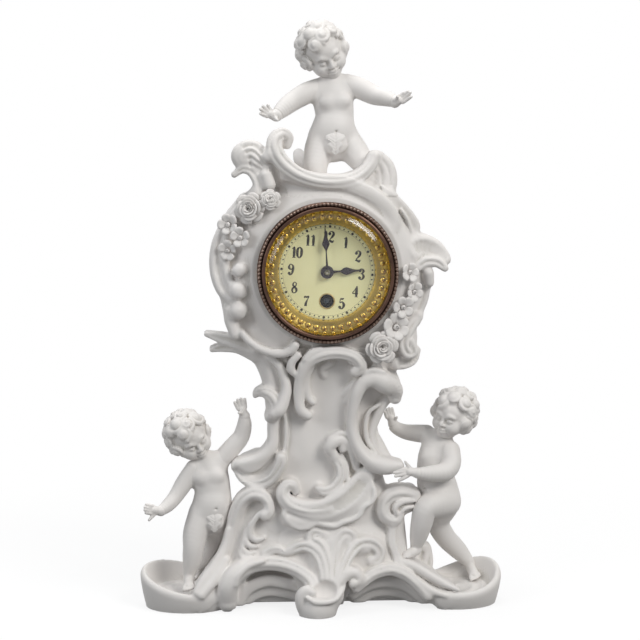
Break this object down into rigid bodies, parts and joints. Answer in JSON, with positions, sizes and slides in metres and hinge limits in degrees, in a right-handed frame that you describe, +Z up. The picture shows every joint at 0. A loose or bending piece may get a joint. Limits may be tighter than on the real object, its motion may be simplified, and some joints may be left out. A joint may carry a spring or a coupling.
{
  "type": "mantel clock",
  "caption": "Rococo mantel clock in unglazed white porcelain with three putti and applied flowers, a hinged glazed bezel and a spring-driven movement.",
  "frame": {"origin": "on the floor under the middle of the footprint", "axes": "+Z up; -Y towards the viewer of the dial, which faces -Y; +X to that viewer's right"},
  "size_m": [0.24, 0.108, 0.3804],
  "materials": {
    "bisque": "matte, unglazed",
    "copper": "dark copper-brown lacquer over pressed metal",
    "gilt": "polished gilt",
    "brass": "plain brass",
    "steel": "satin",
    "blued": "blued steel",
    "enamel": "cream enamel",
    "glass": "clear"
  },
  "bodies": {
    "case": {"back_plate": "brass", "base": "bisque", "bezel_hinge_pin": "steel", "clock_housing": "bisque", "crest": "bisque", "dial": "enamel", "front_plate": "brass", "hairspring": "steel", "left_blossom_1": "bisque", "left_blossom_2": "bisque", "left_blossom_3": "bisque", "left_bud": "bisque", "left_putto_body": "bisque", "left_putto_head": "bisque", "left_putto_left_arm": "bisque", "left_putto_right_arm": "bisque", "left_rose": "bisque", "movement_drum": "brass", "pedestal": "bisque", "rear_hinge_pin": "steel", "rear_ring": "brass", "right_blossom_1": "bisque", "right_blossom_2": "bisque", "right_blossom_3": "bisque", "right_blossom_4": "bisque", "right_leaf_1": "bisque", "right_leaf_2": "bisque", "right_putto_body": "bisque", "right_putto_head": "bisque", "right_putto_left_arm": "bisque", "right_putto_right_arm": "bisque", "right_rose": "bisque", "top_putto_body": "bisque", "top_putto_head": "bisque", "top_putto_left_arm": "bisque", "top_putto_right_arm": "bisque"},
    "bezel": {"bezel": "copper", "glass": "glass", "sight_ring": "gilt"},
    "rear_cover": {"rear_cover": "brass"},
    "minute_hand": {"centre_arbor": "steel", "minute_hand": "blued", "hand_nut": "steel", "setting_knob": "brass"},
    "hour_hand": {"hour_wheel": "brass", "hour_hand": "blued"},
    "minute_wheel": {"minute_wheel": "brass"},
    "centre_wheel": {"centre_wheel": "brass"},
    "spring_barrel": {"spring_barrel": "brass"},
    "third_wheel": {"third_wheel": "brass"},
    "fourth_wheel": {"fourth_wheel": "brass"},
    "escape_wheel": {"escape_wheel": "brass"},
    "winding_arbor": {"winding_arbor": "steel"},
    "click": {"click": "steel"},
    "pallet_lever": {"pallet_lever": "steel"},
    "balance": {"balance_wheel": "brass"},
    "regulator": {"regulator": "steel"}
  },
  "joints": [
    {"name": "bezel_hinge", "type": "hinge", "parent": "case", "child": "bezel", "pos_m": [-0.0408, -0.0292, 0.221], "axis": [0, 0, -1], "range_deg": [0, 100]},
    {"name": "rear_cover_hinge", "type": "hinge", "parent": "case", "child": "rear_cover", "pos_m": [-0.0394, 0.0456, 0.221], "axis": [0, 0, 1], "range_deg": [0, 100]},
    {"name": "minute_hand_spin", "type": "hinge", "parent": "case", "child": "minute_hand", "pos_m": [0.003, 0, 0.221], "axis": [0, 1, 0], "continuous": true},
    {"name": "hour_hand_spin", "type": "hinge", "parent": "case", "child": "hour_hand", "pos_m": [0.003, 0, 0.221], "axis": [0, 1, 0], "continuous": true},
    {"name": "minute_wheel_spin", "type": "hinge", "parent": "case", "child": "minute_wheel", "pos_m": [-0.00452, 0, 0.21826], "axis": [0, 1, 0], "continuous": true},
    {"name": "fourth_wheel_spin", "type": "hinge", "parent": "case", "child": "fourth_wheel", "pos_m": [0.0052, 0, 0.2368], "axis": [0, 1, 0], "continuous": true},
    {"name": "third_wheel_spin", "type": "hinge", "parent": "case", "child": "third_wheel", "pos_m": [-0.00664, 0, 0.23249], "axis": [0, 1, 0], "continuous": true},
    {"name": "centre_wheel_spin", "type": "hinge", "parent": "case", "child": "centre_wheel", "pos_m": [0.003, 0, 0.221], "axis": [0, 1, 0], "continuous": true},
    {"name": "spring_barrel_spin", "type": "hinge", "parent": "case", "child": "spring_barrel", "pos_m": [0.003, 0, 0.202], "axis": [0, 1, 0], "continuous": true},
    {"name": "escape_wheel_spin", "type": "hinge", "parent": "case", "child": "escape_wheel", "pos_m": [0.01572, 0, 0.23297], "axis": [0, 1, 0], "continuous": true},
    {"name": "winding_arbor_spin", "type": "hinge", "parent": "case", "child": "winding_arbor", "pos_m": [0.003, 0, 0.202], "axis": [0, 1, 0], "continuous": true},
    {"name": "click_pivot", "type": "hinge", "parent": "case", "child": "click", "pos_m": [0.0136, 0, 0.2088], "axis": [0, 1, 0], "range_deg": [-2, 8], "stiffness_Nm_per_rad": 0.0001},
    {"name": "pallet_pivot", "type": "hinge", "parent": "case", "child": "pallet_lever", "pos_m": [0.02062, 0, 0.22457], "axis": [0, 1, 0], "range_deg": [-5, 5]},
    {"name": "balance_pivot", "type": "hinge", "parent": "case", "child": "balance", "pos_m": [0.019, 0, 0.2105], "axis": [0, 1, 0], "range_deg": [-200, 200]},
    {"name": "regulator_pivot", "type": "hinge", "parent": "case", "child": "regulator", "pos_m": [0.019, 0, 0.2105], "axis": [0, 1, 0], "range_deg": [-20, 20]}
  ],
  "couplings": [
    {"joint": "hour_hand_spin", "follows": "minute_hand_spin", "ratio": 0.083333},
    {"joint": "minute_wheel_spin", "follows": "minute_hand_spin", "ratio": -0.33333},
    {"joint": "third_wheel_spin", "follows": "fourth_wheel_spin", "ratio": -0.2},
    {"joint": "centre_wheel_spin", "follows": "fourth_wheel_spin", "ratio": 0.04},
    {"joint": "spring_barrel_spin", "follows": "fourth_wheel_spin", "ratio": -0.008},
    {"joint": "escape_wheel_spin", "follows": "fourth_wheel_spin", "ratio": -5}
  ]
}
